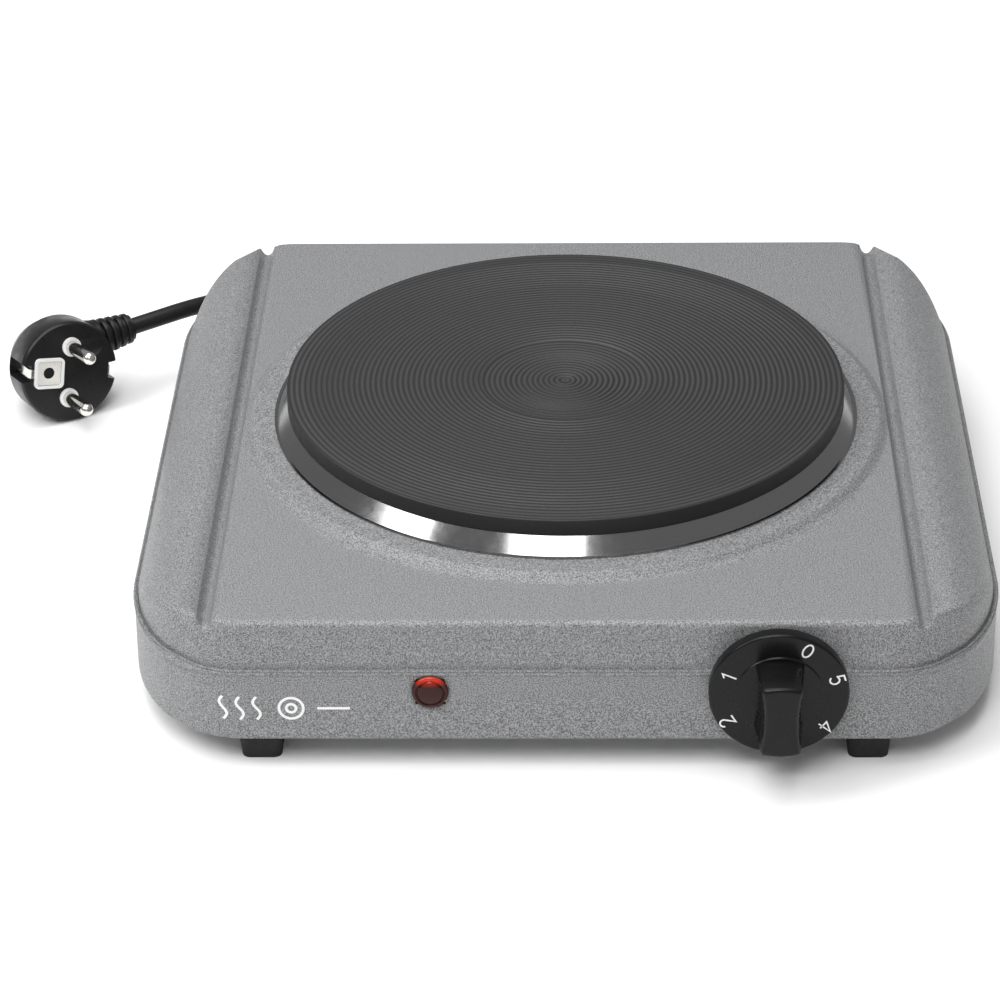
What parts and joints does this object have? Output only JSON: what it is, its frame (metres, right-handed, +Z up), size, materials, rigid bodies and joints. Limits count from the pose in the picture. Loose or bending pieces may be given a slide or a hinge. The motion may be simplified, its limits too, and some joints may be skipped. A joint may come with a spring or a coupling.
{
  "type": "hot plate burner",
  "caption": "Portable electric hot plate: grey pressed steel housing, round cast iron plate in a polished ring, front thermostat knob, red pilot lamp, black mains cord with an angled plug.",
  "frame": {"origin": "on the floor, under the middle of the housing with its knob and cord bush", "axes": "+Z up, +X to the right of a user in front of the knob, +Y to the back, where the cord leaves"},
  "size_m": [0.3396, 0.3583, 0.0633],
  "materials": {
    "grey_enamel": "fine speckled grey powder coat",
    "pan_steel": "grey coated sheet",
    "zinc_steel": "zinc plated sheet and screws",
    "foot_rubber": "matt black rubber",
    "ring_steel": "polished stainless steel",
    "plate_iron": "turned cast iron with a dark protective coat",
    "coil_wire": "dark heating coil",
    "magnesia": "pressed magnesia",
    "steatite": "unglazed technical ceramic",
    "thermo_metal": "rolled bimetal",
    "brass": "bright brass",
    "silver": "silver contact",
    "knob_black": "fine-grained black thermoset",
    "lamp_red": "clear dark red lens",
    "lamp_housing": "white lamp body",
    "neon": "glass bulb",
    "resistor": "resistor body",
    "terminal_white": "white terminal plastic",
    "live_brown": "brown insulation",
    "neutral_blue": "blue insulation",
    "earth_green": "green and yellow insulation",
    "switched_black": "black heat-proof insulation",
    "lead_white": "white lamp lead",
    "cord_black": "black rubber sheath",
    "plug_black": "moulded black plug",
    "pin_nickel": "nickel plated brass",
    "collar_white": "white moulded insert"
  },
  "bodies": {
    "hob": {"housing": "grey_enamel", "base_pan": "pan_steel", "rubber_feet": "foot_rubber", "foot_screws": "zinc_steel", "screw_brackets": "zinc_steel", "trim_ring": "ring_steel", "iron_plate": "plate_iron", "heating_coils": "coil_wire", "magnesia_filling": "magnesia", "plate_cover": "zinc_steel", "bridge_strap": "zinc_steel", "stud_spacer": "zinc_steel", "heat_reflector": "zinc_steel", "plate_stud": "zinc_steel", "stud_washer": "zinc_steel", "stud_nut": "zinc_steel", "ceramic_terminal": "steatite", "plate_tabs": "zinc_steel", "thermostat_frame": "zinc_steel", "thermostat_bush": "brass", "lever_pin": "zinc_steel", "ceramic_washers": "steatite", "bimetal_strip": "thermo_metal", "contact_points": "silver", "contact_leaves": "brass", "stack_screw": "zinc_steel", "thermostat_screws": "zinc_steel", "lamp_lens": "lamp_red", "lamp_body": "lamp_housing", "lamp_clip": "zinc_steel", "neon_bulb": "neon", "lamp_resistor": "resistor", "lamp_leads": "lead_white", "terminal_block": "terminal_white", "terminal_sleeves": "brass", "terminal_screws": "zinc_steel", "cord_cores": "live_brown", "live_lead": "live_brown", "switched_lead": "switched_black", "neutral_lead": "neutral_blue", "earth_lead": "earth_green", "earth_tag": "brass", "earth_screw": "zinc_steel", "cord_bush": "cord_black", "inner_cord": "cord_black", "cord_cradle": "terminal_white", "cord_clamp": "terminal_white", "clamp_screws": "zinc_steel", "mains_cord": "cord_black", "cord_hank": "cord_black", "hank_tie": "cord_black", "plug_body": "plug_black", "plug_pins": "pin_nickel", "pin_collars": "collar_white", "earth_insert": "collar_white", "earth_clips": "pin_nickel"},
    "control": {"knob": "knob_black", "knob_clip": "zinc_steel", "cam_spindle": "brass"},
    "lever": {"cam_lever": "zinc_steel"}
  },
  "joints": [
    {"name": "knob_turn", "type": "hinge", "parent": "hob", "child": "control", "pos_m": [0.065, -0.134, 0.0296], "axis": [0, 1, 0], "range_deg": [-31, 283]},
    {"name": "lever_swing", "type": "hinge", "parent": "hob", "child": "lever", "pos_m": [0.053, -0.122, 0.0206], "axis": [0, -1, 0], "range_deg": [-1.4, 11.6]}
  ],
  "couplings": [
    {"joint": "lever_swing", "follows": "knob_turn", "ratio": 0.0406}
  ]
}
